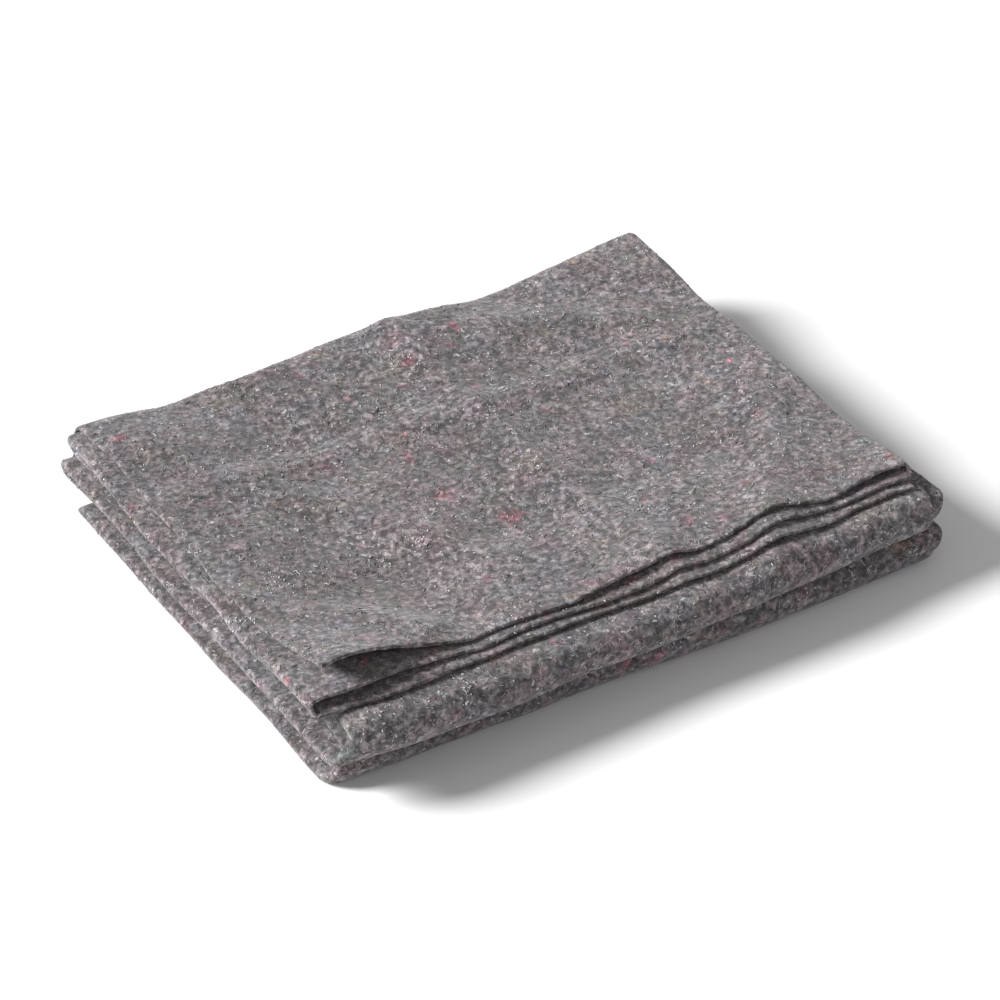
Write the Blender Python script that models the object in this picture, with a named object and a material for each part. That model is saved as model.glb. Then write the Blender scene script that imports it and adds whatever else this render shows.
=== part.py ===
"""A felt moving blanket, folded back and forth into a pad that lies on a flat surface.

The blanket is one piece of needled felt with four raw cut edges. It is first folded
across its width, back and forth, into a strip of three layers. The strip is then folded
back and forth along its length, in five passes. Metres, +Z up. The pad lies on z = 0,
with its long side along X and its front at -Y.
"""

import math
from collections import namedtuple

import bpy
import numpy as np

# The cut blanket
CUT_WIDTH = 1.50
CUT_LENGTH = 2.00
FELT = 0.003

# How it is folded
LAYERS = 3
PASSES = 5
LAYER_GAP = 0.0012
PASS_GAP = 0.0017
LAYER_SWELL = 0.12
PASS_SWELL = 0.12

# Stops along a flat panel, as shares of its length, and the parts of a half turn
LAYER_SHARES = (0.0, 0.04, 0.11, 0.2, 0.34, 0.5, 0.66, 0.8, 0.89, 0.96, 1.0)
PASS_SHARES = (0.0, 0.07, 0.17, 0.36, 0.64, 0.83, 0.93, 1.0)
LAYER_FOLD_PARTS = 4
PASS_FOLD_PARTS = 5

# A fold across the width: the gap held open inside it
LayerFold = namedtuple("LayerFold", "opening")
LAYER_FOLDS = (
    LayerFold(opening=0.0026),
    LayerFold(opening=0.0023),
)

# A fold of the strip: the gap inside it, how far out it lies, how far its line leans from
# end to end, how far its middle stands out, and the phase of the ripple in its gap
PassFold = namedtuple("PassFold", "opening out lean bow phase")
PASS_FOLDS = (
    PassFold(opening=0.0058, out=-0.007, lean=0.012, bow=0.005, phase=0.4),
    PassFold(opening=0.0052, out=0.005, lean=-0.008, bow=-0.004, phase=2.1),
    PassFold(opening=0.0072, out=0.005, lean=-0.012, bow=0.006, phase=4.4),
    PassFold(opening=0.0058, out=-0.003, lean=0.010, bow=-0.004, phase=5.6),
)
RIPPLE_SHARE = 0.22
RIPPLE_LENGTH = 0.34

# A pass of the strip, bottom to top: how far it lies off to one side, how far it is
# turned, and how far its two free side edges stop short of the folds beside them
Pass = namedtuple("Pass", "shift turn right_short left_short")
PASS_ROWS = (
    Pass(shift=0.000, turn=0.000, right_short=0.004, left_short=0.006),
    Pass(shift=0.007, turn=-0.020, right_short=0.009, left_short=0.003),
    Pass(shift=-0.004, turn=0.016, right_short=0.002, left_short=0.010),
    Pass(shift=0.006, turn=-0.012, right_short=0.009, left_short=0.002),
    Pass(shift=-0.005, turn=0.022, right_short=0.004, left_short=0.009),
)

# A layer of the strip, in the order folded: how far its two cut ends stop short of the
# folds beside them, and its share of the lift of the loose corner
Layer = namedtuple("Layer", "back_short front_short lift_share")
LAYER_ROWS = (
    Layer(back_short=0.003, front_short=0.001, lift_share=0.0),
    Layer(back_short=0.008, front_short=0.009, lift_share=0.2),
    Layer(back_short=0.014, front_short=0.018, lift_share=1.0),
)

# The cut edges wander a little, in a slow wave with a quicker ripple on it, which moves
# only the cloth within reach of them
EDGE_REACH = 0.026
EDGE_WAVE = 0.0022
EDGE_WAVE_LENGTH = 0.29
EDGE_RIPPLE_SHARE = 0.4
EDGE_RIPPLE_RATE = 2.7

# How the pile settles: it sinks at its middle and its corners, with a slow roll between
MIDDLE_SINK = 0.035
MIDDLE_FALL = 2.2
CORNER_SINK = 0.06
CORNER_REACH = 0.16
ROLL_SHARE = 0.02
ROLL_LENGTH = 0.38
ROLL_SLANT = 0.45
ROLL_PHASE = 0.9

# The loose front left corner of the top pass, which stands up a little
CORNER_LIFT = 0.018
CORNER_LIFT_REACH = 0.15
CORNER_LIFT_CURL = 1.5

FELT_COLOUR = (0.181, 0.162, 0.168, 1.0)
FELT_ROUGHNESS = 0.95


def side_of(fold):
    """The side that a fold lies on: -1 for the first, and then in turn."""
    return -1 if fold % 2 == 0 else 1


def smooth(share):
    """A smooth rise from 0 to 1."""
    held = np.clip(share, 0.0, 1.0)
    return held * held * (3.0 - 2.0 * held)


def turn_length(thickness, opening):
    """The length of cloth in a half turn, along the middle of what is turned."""
    return math.pi * (thickness + opening) / 2.0


LAYER_TURNS = [turn_length(FELT, fold.opening) for fold in LAYER_FOLDS]
LAYER_REACH = (CUT_WIDTH - sum(LAYER_TURNS)) / LAYERS / 2.0
STRIP_THICKNESS = LAYERS * FELT + (LAYERS - 1) * LAYER_GAP
PASS_TURNS = [turn_length(STRIP_THICKNESS, fold.opening) for fold in PASS_FOLDS]
PASS_REACH = (CUT_LENGTH - sum(PASS_TURNS)) / PASSES / 2.0


def stops(panels, shares, fold_parts):
    """The stops along a back-and-forth path, as rows of (panel or fold, share, is a fold)."""
    rows = []
    for panel in range(panels):
        rows += [(panel, share, False) for share in shares]
        if panel < panels - 1:
            rows += [(panel, part / fold_parts, True) for part in range(1, fold_parts)]
    return rows


def progress_of(row):
    """Which panel a stop is on, as a number that runs on smoothly round the folds."""
    number, share, is_fold = row
    return number + float(smooth(share)) if is_fold else float(number)


def between(progress, values):
    """The value at a panel, or between two panels on the way round a fold."""
    return float(np.interp(progress, range(len(values)), values))


def run_of(row, panel_length, fold_length):
    """How much cloth lies before a stop."""
    number, share, is_fold = row
    before = number * (panel_length + fold_length)
    return before + (panel_length + share * fold_length if is_fold else share * panel_length)


def layer_gap(fold, x):
    """The gap between two layers of the strip, wider where they join in a fold."""
    rise = smooth((side_of(fold) * x - LAYER_REACH + LAYER_SWELL) / LAYER_SWELL)
    return LAYER_GAP + (LAYER_FOLDS[fold].opening - LAYER_GAP) * rise


def strip_thickness(x):
    """The strip's thickness at a place across it."""
    return LAYERS * FELT + sum(layer_gap(fold, x) for fold in range(LAYERS - 1))


def layer_height(layer, x):
    """The height of a layer's middle over the middle of the strip."""
    lower = sum(layer_gap(fold, x) for fold in range(layer))
    return FELT * (layer + 0.5) + lower - strip_thickness(x) / 2.0


def pass_reach(fold, x):
    """How far from the middle of the pad a fold of the strip starts, at a place along it."""
    row = PASS_FOLDS[fold]
    along = x / LAYER_REACH
    return PASS_REACH + row.out + row.lean * along / 2.0 + row.bow * (1.0 - along * along)


def pass_gap(fold, x, y):
    """The gap between two passes of the strip, wider where they join in a fold."""
    row = PASS_FOLDS[fold]
    ripple = 1.0 + RIPPLE_SHARE * math.sin(2.0 * math.pi * x / RIPPLE_LENGTH + row.phase)
    start = pass_reach(fold, x) - PASS_SWELL
    rise = smooth((side_of(fold) * y - start) / PASS_SWELL)
    return PASS_GAP + (row.opening * ripple - PASS_GAP) * rise


def pass_height(number, x, y):
    """The height of the middle of one pass of the strip."""
    lower = sum(pass_gap(fold, x, y) for fold in range(number))
    return strip_thickness(x) * (number + 0.5) + lower


def held_back(place, middle_side, short, away):
    """Moves a place near a cut edge inwards, less and less with the distance from it."""
    return place + middle_side * short * max(0.0, 1.0 - away / EDGE_REACH)


def place_across(row, start_short, end_short):
    """How far to the side a stop of the strip lies, from the strip's own middle."""
    number, share, is_fold = row
    if is_fold:
        radius = (FELT + LAYER_FOLDS[number].opening) / 2.0
        return side_of(number) * (LAYER_REACH + radius * math.sin(math.pi * share))
    place = side_of(number) * LAYER_REACH * (2.0 * share - 1.0)
    length = 2.0 * LAYER_REACH
    if number == 0:
        place = held_back(place, side_of(number), start_short, share * length)
    if number == LAYERS - 1:
        place = held_back(place, -side_of(number), end_short, (1.0 - share) * length)
    return place


def height_across(row, x):
    """How high a stop of the strip lies over the strip's middle."""
    number, share, is_fold = row
    if not is_fold:
        return layer_height(number, x)
    low = layer_height(number, x)
    high = layer_height(number + 1, x)
    return (low + high) / 2.0 - (high - low) / 2.0 * math.cos(math.pi * share)


def place_along(row, x, height, start_short, end_short):
    """Where a point, height over the strip's middle, lies at a stop along it: (y, z)."""
    number, share, is_fold = row
    flip = 1 if number % 2 == 0 else -1
    if is_fold:
        side = side_of(number)
        start = side * pass_reach(number, x)
        low = pass_height(number, x, start)
        high = pass_height(number + 1, x, start)
        radius = (high - low) / 2.0 - flip * height
        y = start + side * radius * math.sin(math.pi * share)
        return y, (low + high) / 2.0 - radius * math.cos(math.pi * share)
    last = number == PASSES - 1
    start = side_of(number - 1) * (PASS_REACH if number == 0 else pass_reach(number - 1, x))
    end = side_of(number) * (PASS_REACH if last else pass_reach(number, x))
    y = start + (end - start) * share
    length = abs(end - start)
    if number == 0:
        y = held_back(y, side_of(number), start_short, share * length)
    if last:
        y = held_back(y, -side_of(number), end_short, (1.0 - share) * length)
    return y, pass_height(number, x, y) + flip * height


def edge_wave(along, phase):
    """How far a cut edge wanders from a straight line."""
    turn = 2.0 * math.pi * along / EDGE_WAVE_LENGTH
    ripple = EDGE_RIPPLE_SHARE * math.sin(EDGE_RIPPLE_RATE * turn + 2.0 * phase)
    return EDGE_WAVE * (math.sin(turn + phase) + ripple)


def settled(x, y):
    """The share of its height that the pile keeps at a place."""
    across = x / LAYER_REACH
    along = y / PASS_REACH
    middle = MIDDLE_SINK * math.exp(-MIDDLE_FALL * (across * across + along * along))
    from_corner = math.hypot(LAYER_REACH - abs(x), PASS_REACH - abs(y))
    corner = CORNER_SINK * smooth(1.0 - from_corner / CORNER_REACH)
    rolling = 2.0 * math.pi * (x + ROLL_SLANT * y) / ROLL_LENGTH + ROLL_PHASE
    return 1.0 - middle - corner + ROLL_SHARE * math.sin(rolling)


def lifted(x, y, layer_at, pass_at):
    """How far the loose corner of the top pass stands up, most of it in the top layer."""
    if pass_at <= PASSES - 2:
        return 0.0
    away = math.hypot(x + LAYER_REACH, y + PASS_REACH)
    share = between(layer_at, [row.lift_share for row in LAYER_ROWS])
    return CORNER_LIFT * share * smooth(1.0 - away / CORNER_LIFT_REACH) ** CORNER_LIFT_CURL


def blanket_point(across_row, along_row):
    """Where one point of the folded sheet's middle surface lies."""
    layer_at = progress_of(across_row)
    pass_at = progress_of(along_row)
    run = run_of(along_row, 2.0 * PASS_REACH, PASS_TURNS[0])
    right = between(pass_at, [row.right_short for row in PASS_ROWS]) + edge_wave(run, 0.0)
    left = between(pass_at, [row.left_short for row in PASS_ROWS]) + edge_wave(run, 2.0)
    shift = between(pass_at, [row.shift for row in PASS_ROWS])
    turn = between(pass_at, [row.turn for row in PASS_ROWS])
    y_of_middle, _ = place_along(along_row, 0.0, 0.0, 0.0, 0.0)
    x = place_across(across_row, right, left) + shift + turn * y_of_middle
    wave = edge_wave(x, layer_at)
    back = between(layer_at, [row.back_short for row in LAYER_ROWS]) + wave
    front = between(layer_at, [row.front_short for row in LAYER_ROWS]) - wave
    y, z = place_along(along_row, x, height_across(across_row, x), back, front)
    z = FELT / 2.0 + (z - FELT / 2.0) * settled(x, y)
    return x, y, z + lifted(x, y, layer_at, pass_at)


def sheet_mesh(name):
    """A mesh of quads over the folded sheet's middle surface."""
    across = stops(LAYERS, LAYER_SHARES, LAYER_FOLD_PARTS)
    along = stops(PASSES, PASS_SHARES, PASS_FOLD_PARTS)
    points = [blanket_point(across_row, along_row) for across_row in across for along_row in along]
    columns = len(along)
    faces = []
    for i in range(len(across) - 1):
        for j in range(columns - 1):
            corner = i * columns + j
            faces.append((corner, corner + columns, corner + columns + 1, corner + 1))
    mesh = bpy.data.meshes.new(name)
    mesh.from_pydata(points, [], faces)
    mesh.update()
    return mesh


def felt_material():
    """Grey recycled felt, mauve in tone, with no gloss."""
    material = bpy.data.materials.new("recycled_felt")
    material.use_nodes = True
    shader = material.node_tree.nodes["Principled BSDF"]
    shader.inputs["Base Color"].default_value = FELT_COLOUR
    shader.inputs["Roughness"].default_value = FELT_ROUGHNESS
    shader.inputs["Metallic"].default_value = 0.0
    return material


def centre_on_base(blanket):
    """Moves the mesh so that the middle of the pad's underside is the origin."""
    bpy.context.view_layer.update()
    graph = bpy.context.evaluated_depsgraph_get()
    corners = np.array(blanket.evaluated_get(graph).bound_box)
    low = corners.min(axis=0)
    middle = (low + corners.max(axis=0)) / 2.0
    for vertex in blanket.data.vertices:
        vertex.co.x -= middle[0]
        vertex.co.y -= middle[1]
        vertex.co.z -= low[2]


def make_blanket():
    """The folded blanket: the folded sheet, given the felt's thickness."""
    blanket = bpy.data.objects.new("felt_blanket", sheet_mesh("felt_blanket"))
    bpy.context.scene.collection.objects.link(blanket)
    blanket.data.materials.append(felt_material())
    felt = blanket.modifiers.new("felt", "SOLIDIFY")
    felt.thickness = FELT
    felt.offset = 0.0
    centre_on_base(blanket)
    blanket.data.shade_smooth()
    return blanket


def main():
    """Clears the scene and makes the blanket."""
    for old in list(bpy.data.objects):
        bpy.data.objects.remove(old)
    make_blanket()


main()
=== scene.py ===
"""A felt moving blanket, folded into a pad and dressed for a product photograph.

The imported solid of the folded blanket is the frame. This script lays a finer sheet of the
same cloth in its place, with soft creases, lumps and raw cut edges, and works loose lint,
threads and fuzz into its face. Metres, +Z up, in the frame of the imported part.
"""

import logging
import math
from dataclasses import dataclass, field
from enum import Enum
from functools import reduce

import bpy
import numpy as np
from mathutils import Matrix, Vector
from mathutils.bvhtree import BVHTree


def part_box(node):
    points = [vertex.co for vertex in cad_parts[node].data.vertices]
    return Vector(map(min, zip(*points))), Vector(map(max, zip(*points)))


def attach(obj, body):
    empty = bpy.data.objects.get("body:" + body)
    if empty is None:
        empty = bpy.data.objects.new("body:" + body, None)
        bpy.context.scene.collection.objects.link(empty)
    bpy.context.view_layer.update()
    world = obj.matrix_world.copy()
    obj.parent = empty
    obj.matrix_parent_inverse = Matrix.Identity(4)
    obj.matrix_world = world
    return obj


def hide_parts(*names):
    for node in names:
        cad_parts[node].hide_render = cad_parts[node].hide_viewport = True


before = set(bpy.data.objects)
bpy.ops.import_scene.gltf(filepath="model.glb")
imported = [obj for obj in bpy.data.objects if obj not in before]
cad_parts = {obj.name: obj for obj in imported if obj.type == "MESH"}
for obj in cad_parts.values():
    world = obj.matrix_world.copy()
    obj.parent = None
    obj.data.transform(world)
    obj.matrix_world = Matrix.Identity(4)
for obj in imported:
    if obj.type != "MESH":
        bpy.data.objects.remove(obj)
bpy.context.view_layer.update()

log = logging.getLogger("blanket")

Array = np.ndarray
Colour = tuple[float, float, float]
Node = bpy.types.Node
Socket = bpy.types.NodeSocket

NODE = "felt_blanket"
BODY = "root"


def smooth(share: Array | float) -> Array:
    """A smooth rise from 0 to 1."""
    held = np.clip(share, 0.0, 1.0)
    return held * held * (3.0 - 2.0 * held)


def unit(vectors: Array) -> Array:
    """The vectors, each at a length of one."""
    length = np.linalg.norm(vectors, axis=-1, keepdims=True)
    return vectors / np.maximum(length, 1e-12)


class StopKind(Enum):
    """What a stop along a back-and-forth path lies on."""

    PANEL = "panel"
    FOLD = "fold"


@dataclass(frozen=True)
class Stop:
    """A stop along a back-and-forth path: the panel or fold, and the share of it passed."""

    number: int
    share: float
    kind: StopKind

    @property
    def progress(self) -> float:
        """The panel's number, running on smoothly round the folds."""
        turned = float(smooth(self.share)) if self.kind is StopKind.FOLD else 0.0
        return self.number + turned


CUT_EDGE_STOPS = (0.0006, 0.0016, 0.0032)


@dataclass(frozen=True)
class Stepping:
    """How closely a flat panel is stepped, in metres.

    Attributes:
        rim: the step near the panel's ends.
        body: the step in its middle.
        margin: how far the rim's step reaches in from each end.
    """

    rim: float
    body: float
    margin: float

    def shares(self, length: float, extra_start: bool, extra_end: bool) -> list[float]:
        """The stops along a panel, as shares of its length.

        Args:
            length: the panel's length.
            extra_start: whether its start is a cut edge, with closer stops.
            extra_end: whether its end is one.

        Returns:
            The shares, from 0 to 1.
        """
        close = CUT_EDGE_STOPS
        middle = max(2, round((length - 2.0 * self.margin) / self.body) + 1)
        places = set(np.linspace(self.margin, length - self.margin, middle))
        rim_steps = max(1, round(self.margin / self.rim))
        ends = [self.margin * step / rim_steps for step in range(rim_steps)]
        places |= set(ends) | {length - place for place in ends}
        places |= set(close) if extra_start else set()
        places |= {length - place for place in close} if extra_end else set()
        return [float(place / length) for place in sorted(places)]


@dataclass(frozen=True)
class LayerFold:
    """A fold across the blanket's width, with the gap held open inside it."""

    opening: float


@dataclass(frozen=True)
class PassFold:
    """A fold of the three-layer strip.

    Attributes:
        opening: the gap held open inside it.
        out: how far out it lies.
        lean: how far its line leans from end to end.
        bow: how far its middle stands out.
        phase: the phase of the ripple in its gap.
    """

    opening: float
    out: float
    lean: float
    bow: float
    phase: float


@dataclass(frozen=True)
class Pass:
    """A pass of the strip: its shift and turn, and how far its side edges stop short."""

    shift: float
    turn: float
    right_short: float
    left_short: float


@dataclass(frozen=True)
class Layer:
    """A layer of the strip: how far its ends stop short, and its share of the lift."""

    back_short: float
    front_short: float
    lift_share: float


@dataclass(frozen=True)
class Crease:
    """A soft ridge or trough across the top of the pad.

    Attributes:
        start: where its line starts, (x, y).
        end: where its line ends.
        height: how far it stands up, or sinks where negative.
        width: how wide it is, from its middle to where it has mostly faded.
    """

    start: tuple[float, float]
    end: tuple[float, float]
    height: float
    width: float

    def rise(self, x: Array, y: Array) -> Array:
        """How far the crease lifts the top of the pad at each place.

        Args:
            x: places to the side.
            y: places to the back.

        Returns:
            The heights.
        """
        ax, ay = self.start
        bx, by = self.end
        length = math.hypot(bx - ax, by - ay)
        along = ((x - ax) * (bx - ax) + (y - ay) * (by - ay)) / length**2
        off = ((x - ax) * (by - ay) - (y - ay) * (bx - ax)) / length
        ends = smooth(along * 4.0) * smooth((1.0 - along) * 4.0)
        return self.height * ends * np.exp(-((off / self.width) ** 2))


@dataclass
class FoldPlan:
    """The folded blanket's middle surface, worked out from how it is cut and folded."""

    cut_width: float = 1.50
    cut_length: float = 2.00
    felt: float = 0.003
    layer_gap: float = 0.0012
    pass_gap: float = 0.0017
    layer_swell: float = 0.12
    pass_swell: float = 0.12
    ripple_share: float = 0.22
    ripple_length: float = 0.34
    edge_reach: float = 0.026
    edge_wave: float = 0.0022
    edge_wave_length: float = 0.29
    edge_ripple_share: float = 0.4
    edge_ripple_rate: float = 2.7
    middle_sink: float = 0.035
    middle_fall: float = 2.2
    corner_sink: float = 0.06
    corner_reach: float = 0.16
    roll_share: float = 0.02
    roll_length: float = 0.38
    roll_slant: float = 0.45
    roll_phase: float = 0.9
    corner_lift: float = 0.018
    corner_lift_reach: float = 0.15
    corner_lift_curl: float = 1.5
    layer_folds: tuple[LayerFold, ...] = (LayerFold(0.0026), LayerFold(0.0023))
    pass_folds: tuple[PassFold, ...] = (
        PassFold(opening=0.0058, out=-0.007, lean=0.012, bow=0.005, phase=0.4),
        PassFold(opening=0.0052, out=0.005, lean=-0.008, bow=-0.004, phase=2.1),
        PassFold(opening=0.0072, out=0.005, lean=-0.012, bow=0.006, phase=4.4),
        PassFold(opening=0.0058, out=-0.003, lean=0.010, bow=-0.004, phase=5.6),
    )
    pass_rows: tuple[Pass, ...] = (
        Pass(shift=0.000, turn=0.000, right_short=0.004, left_short=0.006),
        Pass(shift=0.007, turn=-0.020, right_short=0.009, left_short=0.003),
        Pass(shift=-0.004, turn=0.016, right_short=0.002, left_short=0.010),
        Pass(shift=0.006, turn=-0.012, right_short=0.009, left_short=0.002),
        Pass(shift=-0.005, turn=0.022, right_short=0.004, left_short=0.009),
    )
    layer_rows: tuple[Layer, ...] = (
        Layer(back_short=0.003, front_short=0.001, lift_share=0.0),
        Layer(back_short=0.008, front_short=0.009, lift_share=0.2),
        Layer(back_short=0.014, front_short=0.018, lift_share=1.0),
    )

    @property
    def layers(self) -> int:
        """How many layers the strip has."""
        return len(self.layer_rows)

    @property
    def passes(self) -> int:
        """How many times the strip passes over the pad."""
        return len(self.pass_rows)

    @property
    def layer_reach(self) -> float:
        """How far from the middle the folds across the width start."""
        turns = sum(math.pi * (self.felt + fold.opening) / 2.0 for fold in self.layer_folds)
        return (self.cut_width - turns) / self.layers / 2.0

    @property
    def strip(self) -> float:
        """The strip's thickness where it isn't swollen."""
        return self.layers * self.felt + (self.layers - 1) * self.layer_gap

    @property
    def pass_turn(self) -> float:
        """The cloth in the first fold of the strip."""
        return math.pi * (self.strip + self.pass_folds[0].opening) / 2.0

    @property
    def pass_reach(self) -> float:
        """How far from the middle the folds of the strip start, before they vary."""
        turns = sum(math.pi * (self.strip + fold.opening) / 2.0 for fold in self.pass_folds)
        return (self.cut_length - turns) / self.passes / 2.0

    @staticmethod
    def side(fold: int) -> int:
        """The side that a fold lies on: -1 for the first, and then in turn."""
        return -1 if fold % 2 == 0 else 1

    @staticmethod
    def between(rows: tuple[Layer, ...] | tuple[Pass, ...], name: str, at: Array | float) -> Array:
        """The value in a table's named column at places between its rows."""
        return np.interp(at, range(len(rows)), [getattr(row, name) for row in rows])

    def gap_in_strip(self, fold: int, x: Array) -> Array:
        """The gap between two layers, wider where they join in a fold."""
        near = (self.side(fold) * x - self.layer_reach + self.layer_swell) / self.layer_swell
        return self.layer_gap + (self.layer_folds[fold].opening - self.layer_gap) * smooth(near)

    def strip_thickness(self, x: Array) -> Array:
        """The strip's thickness at places across it."""
        gaps = sum(self.gap_in_strip(fold, x) for fold in range(self.layers - 1))
        return self.layers * self.felt + gaps

    def layer_height(self, layer: int, x: Array) -> Array:
        """The height of a layer's middle over the middle of the strip."""
        lower = sum(self.gap_in_strip(fold, x) for fold in range(layer))
        return self.felt * (layer + 0.5) + lower - self.strip_thickness(x) / 2.0

    def reach_at(self, fold: int, x: Array) -> Array:
        """How far from the middle a fold of the strip starts, at places along its line."""
        row, along = self.pass_folds[fold], x / self.layer_reach
        return self.pass_reach + row.out + row.lean * along / 2.0 + row.bow * (1.0 - along * along)

    def gap_between_passes(self, fold: int, x: Array, y: Array) -> Array:
        """The gap between two passes, wider where they join in a fold.

        Args:
            fold: the number of the fold that joins them.
            x: places to the side.
            y: places to the back.

        Returns:
            The gaps.
        """
        row = self.pass_folds[fold]
        wave = np.sin(2.0 * math.pi * x / self.ripple_length + row.phase)
        start = self.reach_at(fold, x) - self.pass_swell
        rise = smooth((self.side(fold) * y - start) / self.pass_swell)
        return self.pass_gap + (row.opening * (1.0 + self.ripple_share * wave) - self.pass_gap) * rise

    def pass_height(self, number: int, x: Array, y: Array) -> Array:
        """The height of the middle of one pass of the strip."""
        lower = sum(self.gap_between_passes(fold, x, y) for fold in range(number))
        return self.strip_thickness(x) * (number + 0.5) + lower

    def wandering(self, along: Array, phase: Array | float) -> Array:
        """How far a cut edge wanders from a straight line.

        Args:
            along: places along the edge.
            phase: the phase of its waves.

        Returns:
            The distances from the line.
        """
        turn = 2.0 * math.pi * along / self.edge_wave_length
        ripple = self.edge_ripple_share * np.sin(self.edge_ripple_rate * turn + 2.0 * phase)
        return self.edge_wave * (np.sin(turn + phase) + ripple)

    def held_back(self, short: Array | float, away: Array | float) -> Array:
        """How far a place near a cut edge moves inwards."""
        return short * np.maximum(0.0, 1.0 - away / self.edge_reach)

    def settled(self, x: Array, y: Array) -> Array:
        """The share of its height that the pile keeps at each place.

        Args:
            x: places to the side.
            y: places to the back.

        Returns:
            The shares, near 1.
        """
        across = x / self.layer_reach
        along = y / self.pass_reach
        middle = self.middle_sink * np.exp(-self.middle_fall * (across**2 + along**2))
        from_corner = np.hypot(self.layer_reach - np.abs(x), self.pass_reach - np.abs(y))
        corner = self.corner_sink * smooth(1.0 - from_corner / self.corner_reach)
        rolling = 2.0 * math.pi * (x + self.roll_slant * y) / self.roll_length + self.roll_phase
        return 1.0 - middle - corner + self.roll_share * np.sin(rolling)

    def lifted(self, x: Array, y: Array, layer_at: Array, pass_at: float) -> Array:
        """How far the loose corner of the top pass stands up.

        Args:
            x: places to the side.
            y: places to the back.
            layer_at: the layer at each place.
            pass_at: the pass.

        Returns:
            The heights that the corner's lift adds.
        """
        if pass_at <= self.passes - 2:
            return np.zeros_like(x)
        away = np.hypot(x + self.layer_reach, y + self.pass_reach)
        share = self.between(self.layer_rows, "lift_share", layer_at)
        near = smooth(1.0 - away / self.corner_lift_reach)
        return self.corner_lift * share * near**self.corner_lift_curl

    def across(self, stop: Stop, right: float, left: float) -> float:
        """A stop's place across the pad.

        Args:
            stop: the stop across the strip.
            right: how far the right cut edge stops short.
            left: how far the left cut edge stops short.

        Returns:
            The place from the strip's middle.
        """
        length = 2.0 * self.layer_reach
        side = self.side(stop.number)
        if stop.kind is StopKind.FOLD:
            radius = (self.felt + self.layer_folds[stop.number].opening) / 2.0
            return side * (self.layer_reach + radius * math.sin(math.pi * stop.share))
        inward = 0.0
        if stop.number == 0:
            inward += float(self.held_back(right, stop.share * length))
        if stop.number == self.layers - 1:
            inward -= float(self.held_back(left, (1.0 - stop.share) * length))
        return side * (self.layer_reach * (2.0 * stop.share - 1.0) + inward)

    def height_across(self, stops: list[Stop], x: Array) -> Array:
        """How high each stop of the strip lies over the strip's middle.

        Args:
            stops: the stops across the strip.
            x: their places to the side.

        Returns:
            The heights.
        """
        heights = np.array([self.layer_height(layer, x) for layer in range(self.layers)])
        rows = np.arange(len(stops))
        low = heights[[stop.number for stop in stops], rows]
        high = heights[[min(stop.number + 1, self.layers - 1) for stop in stops], rows]
        turned = np.array([-math.cos(math.pi * stop.share) for stop in stops])
        in_fold = np.array([stop.kind is StopKind.FOLD for stop in stops])
        return np.where(in_fold, (low + high) / 2.0 + (high - low) / 2.0 * turned, low)

    def along(
        self, stop: Stop, x: Array, height: Array, back: Array, front: Array
    ) -> tuple[Array, Array]:
        """Where points over the strip's middle lie at a stop along it.

        Args:
            stop: the stop along the strip.
            x: the points' places to the side.
            height: their heights over the strip's middle.
            back: how far the strip's first end stops short.
            front: how far its last end stops short.

        Returns:
            Their y and their z.
        """
        number, share = stop.number, stop.share
        flip = 1 if number % 2 == 0 else -1
        side = self.side(number)
        if stop.kind is StopKind.FOLD:
            start = side * self.reach_at(number, x)
            low = self.pass_height(number, x, start)
            high = self.pass_height(number + 1, x, start)
            radius = (high - low) / 2.0 - flip * height
            y = start + side * radius * math.sin(math.pi * share)
            return y, (low + high) / 2.0 - radius * math.cos(math.pi * share)
        plain = np.full_like(x, self.pass_reach)
        start = -side * (plain if number == 0 else self.reach_at(number - 1, x))
        end = side * (plain if number == self.passes - 1 else self.reach_at(number, x))
        length = np.abs(end - start)
        inward = np.zeros_like(x)
        if number == 0:
            inward = inward + self.held_back(back, share * length)
        if number == self.passes - 1:
            inward = inward - self.held_back(front, (1.0 - share) * length)
        y = start + (end - start) * share + side * inward
        return y, self.pass_height(number, x, y) + flip * height

    def run(self, stop: Stop) -> float:
        """The cloth's length up to a stop along the blanket, along the strip's middle.

        Args:
            stop: the stop.

        Returns:
            The length.
        """
        panel, turn = 2.0 * self.pass_reach, self.pass_turn
        before = stop.number * (panel + turn)
        in_fold = stop.kind is StopKind.FOLD
        return before + panel + stop.share * turn if in_fold else before + stop.share * panel

    def surface(self, across: list[Stop], along: list[Stop]) -> Array:
        """The folded sheet's middle surface at every pair of stops.

        Args:
            across: the stops across the blanket.
            along: the stops along it.

        Returns:
            The points, as an array of across by along.
        """
        points = np.zeros((len(across), len(along), 3))
        layer_at = np.array([stop.progress for stop in across])
        back = self.between(self.layer_rows, "back_short", layer_at)
        front = self.between(self.layer_rows, "front_short", layer_at)
        middle = np.zeros(1)
        for column, stop in enumerate(along):
            at = stop.progress
            y_middle, _ = self.along(stop, middle, middle, middle, middle)
            right = self.between(self.pass_rows, "right_short", at)
            left = self.between(self.pass_rows, "left_short", at)
            right += float(self.wandering(self.run(stop), 0.0))
            left += float(self.wandering(self.run(stop), 2.0))
            shift = self.between(self.pass_rows, "shift", at)
            turn = self.between(self.pass_rows, "turn", at)
            places = np.array([self.across(row, right, left) for row in across])
            x = places + shift + turn * y_middle[0]
            wave = self.wandering(x, layer_at)
            height = self.height_across(across, x)
            y, z = self.along(stop, x, height, back + wave, front - wave)
            base = self.felt / 2.0
            z = base + (z - base) * self.settled(x, y) + self.lifted(x, y, layer_at, at)
            points[:, column] = np.stack((x, y, z), axis=1)
        return points


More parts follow.
